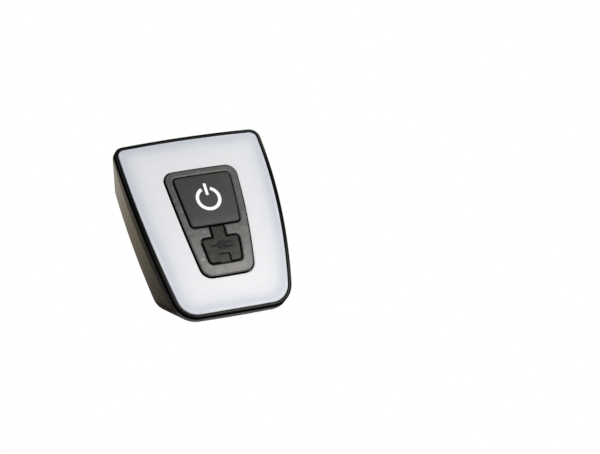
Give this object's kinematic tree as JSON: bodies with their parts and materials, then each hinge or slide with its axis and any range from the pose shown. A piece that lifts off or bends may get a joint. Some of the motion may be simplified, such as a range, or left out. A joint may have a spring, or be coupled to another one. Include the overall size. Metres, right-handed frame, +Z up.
{
  "type": "bicycle tail light",
  "caption": "Rechargeable clip-on tail light: domed trapezoid diffuser round a panel with a push button and a hinged port cover, tapered housing, slotted spring clip behind.",
  "frame": {"origin": "on the back of the housing, in the middle of the strap gap behind the clip's slot", "axes": "+Z up, towards the wide edge where the clip bends; -Y the way the light shines; +X to the right seen from the front, across the width, about which the light is symmetric"},
  "size_m": [0.0388, 0.029, 0.0478],
  "materials": {
    "housing_plastic": "fine satin texture, charcoal",
    "seal_rubber": "soft black silicone",
    "bezel_plastic": "gloss black",
    "diffuser_plastic": "milky white, smooth",
    "panel_plastic": "satin, dark grey",
    "button_rubber": "matte, with a white power sign",
    "flap_rubber": "matte dark grey",
    "white_board": "white solder mask",
    "light_chip": "pale yellow gel in a white cup",
    "reflector_plastic": "bright white",
    "switch_metal": "plain",
    "switch_plastic": "black",
    "port_steel": "pressed, nickel plated",
    "green_board": "green solder mask",
    "chip_plastic": "black moulding",
    "ferrite": "grey ferrite",
    "capacitor_ceramic": "tan ceramic",
    "frame_plastic": "black",
    "screw_steel": "zinc plated",
    "battery_foil": "pouch foil",
    "foam": "soft foam",
    "lead_sleeve": "smooth",
    "clip_plastic": "satin, charcoal",
    "black_screw": "black",
    "nut_brass": "turned"
  },
  "bodies": {
    "light": {"rear_housing": "housing_plastic", "housing_seal": "seal_rubber", "front_bezel": "bezel_plastic", "diffuser_lens": "diffuser_plastic", "centre_panel": "panel_plastic", "button_gasket": "seal_rubber", "flap_anchor": "flap_rubber", "led_board": "white_board", "led_chips": "light_chip", "reflector": "reflector_plastic", "switch_body": "switch_metal", "charge_port": "port_steel", "port_tongue": "switch_plastic", "main_board": "green_board", "charge_chip": "chip_plastic", "driver_chip": "chip_plastic", "power_inductor": "ferrite", "chip_capacitors": "capacitor_ceramic", "board_connector": "switch_plastic", "inner_frame": "frame_plastic", "frame_screws": "screw_steel", "panel_screws": "screw_steel", "battery_cell": "battery_foil", "battery_pad": "foam", "battery_leads": "lead_sleeve", "clip_plate": "clip_plastic", "clip_screw": "black_screw", "clip_nut": "nut_brass"},
    "button": {"power_button": "button_rubber", "switch_plunger": "switch_plastic"},
    "flap": {"port_flap": "flap_rubber"},
    "clip": {"clip_arm": "clip_plastic"}
  },
  "joints": [
    {"name": "button_press", "type": "slide", "parent": "light", "child": "button", "axis": [0, 1, 0], "range_m": [0, 0.0004], "stiffness_N_per_m": 2500},
    {"name": "flap_open", "type": "hinge", "parent": "light", "child": "flap", "pos_m": [0, -0.02136, -0.007], "axis": [-1, 0, 0], "range_deg": [0, 120], "stiffness_Nm_per_rad": 0.0004},
    {"name": "clip_flex", "type": "hinge", "parent": "light", "child": "clip", "pos_m": [0, 0.0024, 0.01484], "axis": [1, 0, 0], "range_deg": [0, 6], "stiffness_Nm_per_rad": 3}
  ]
}
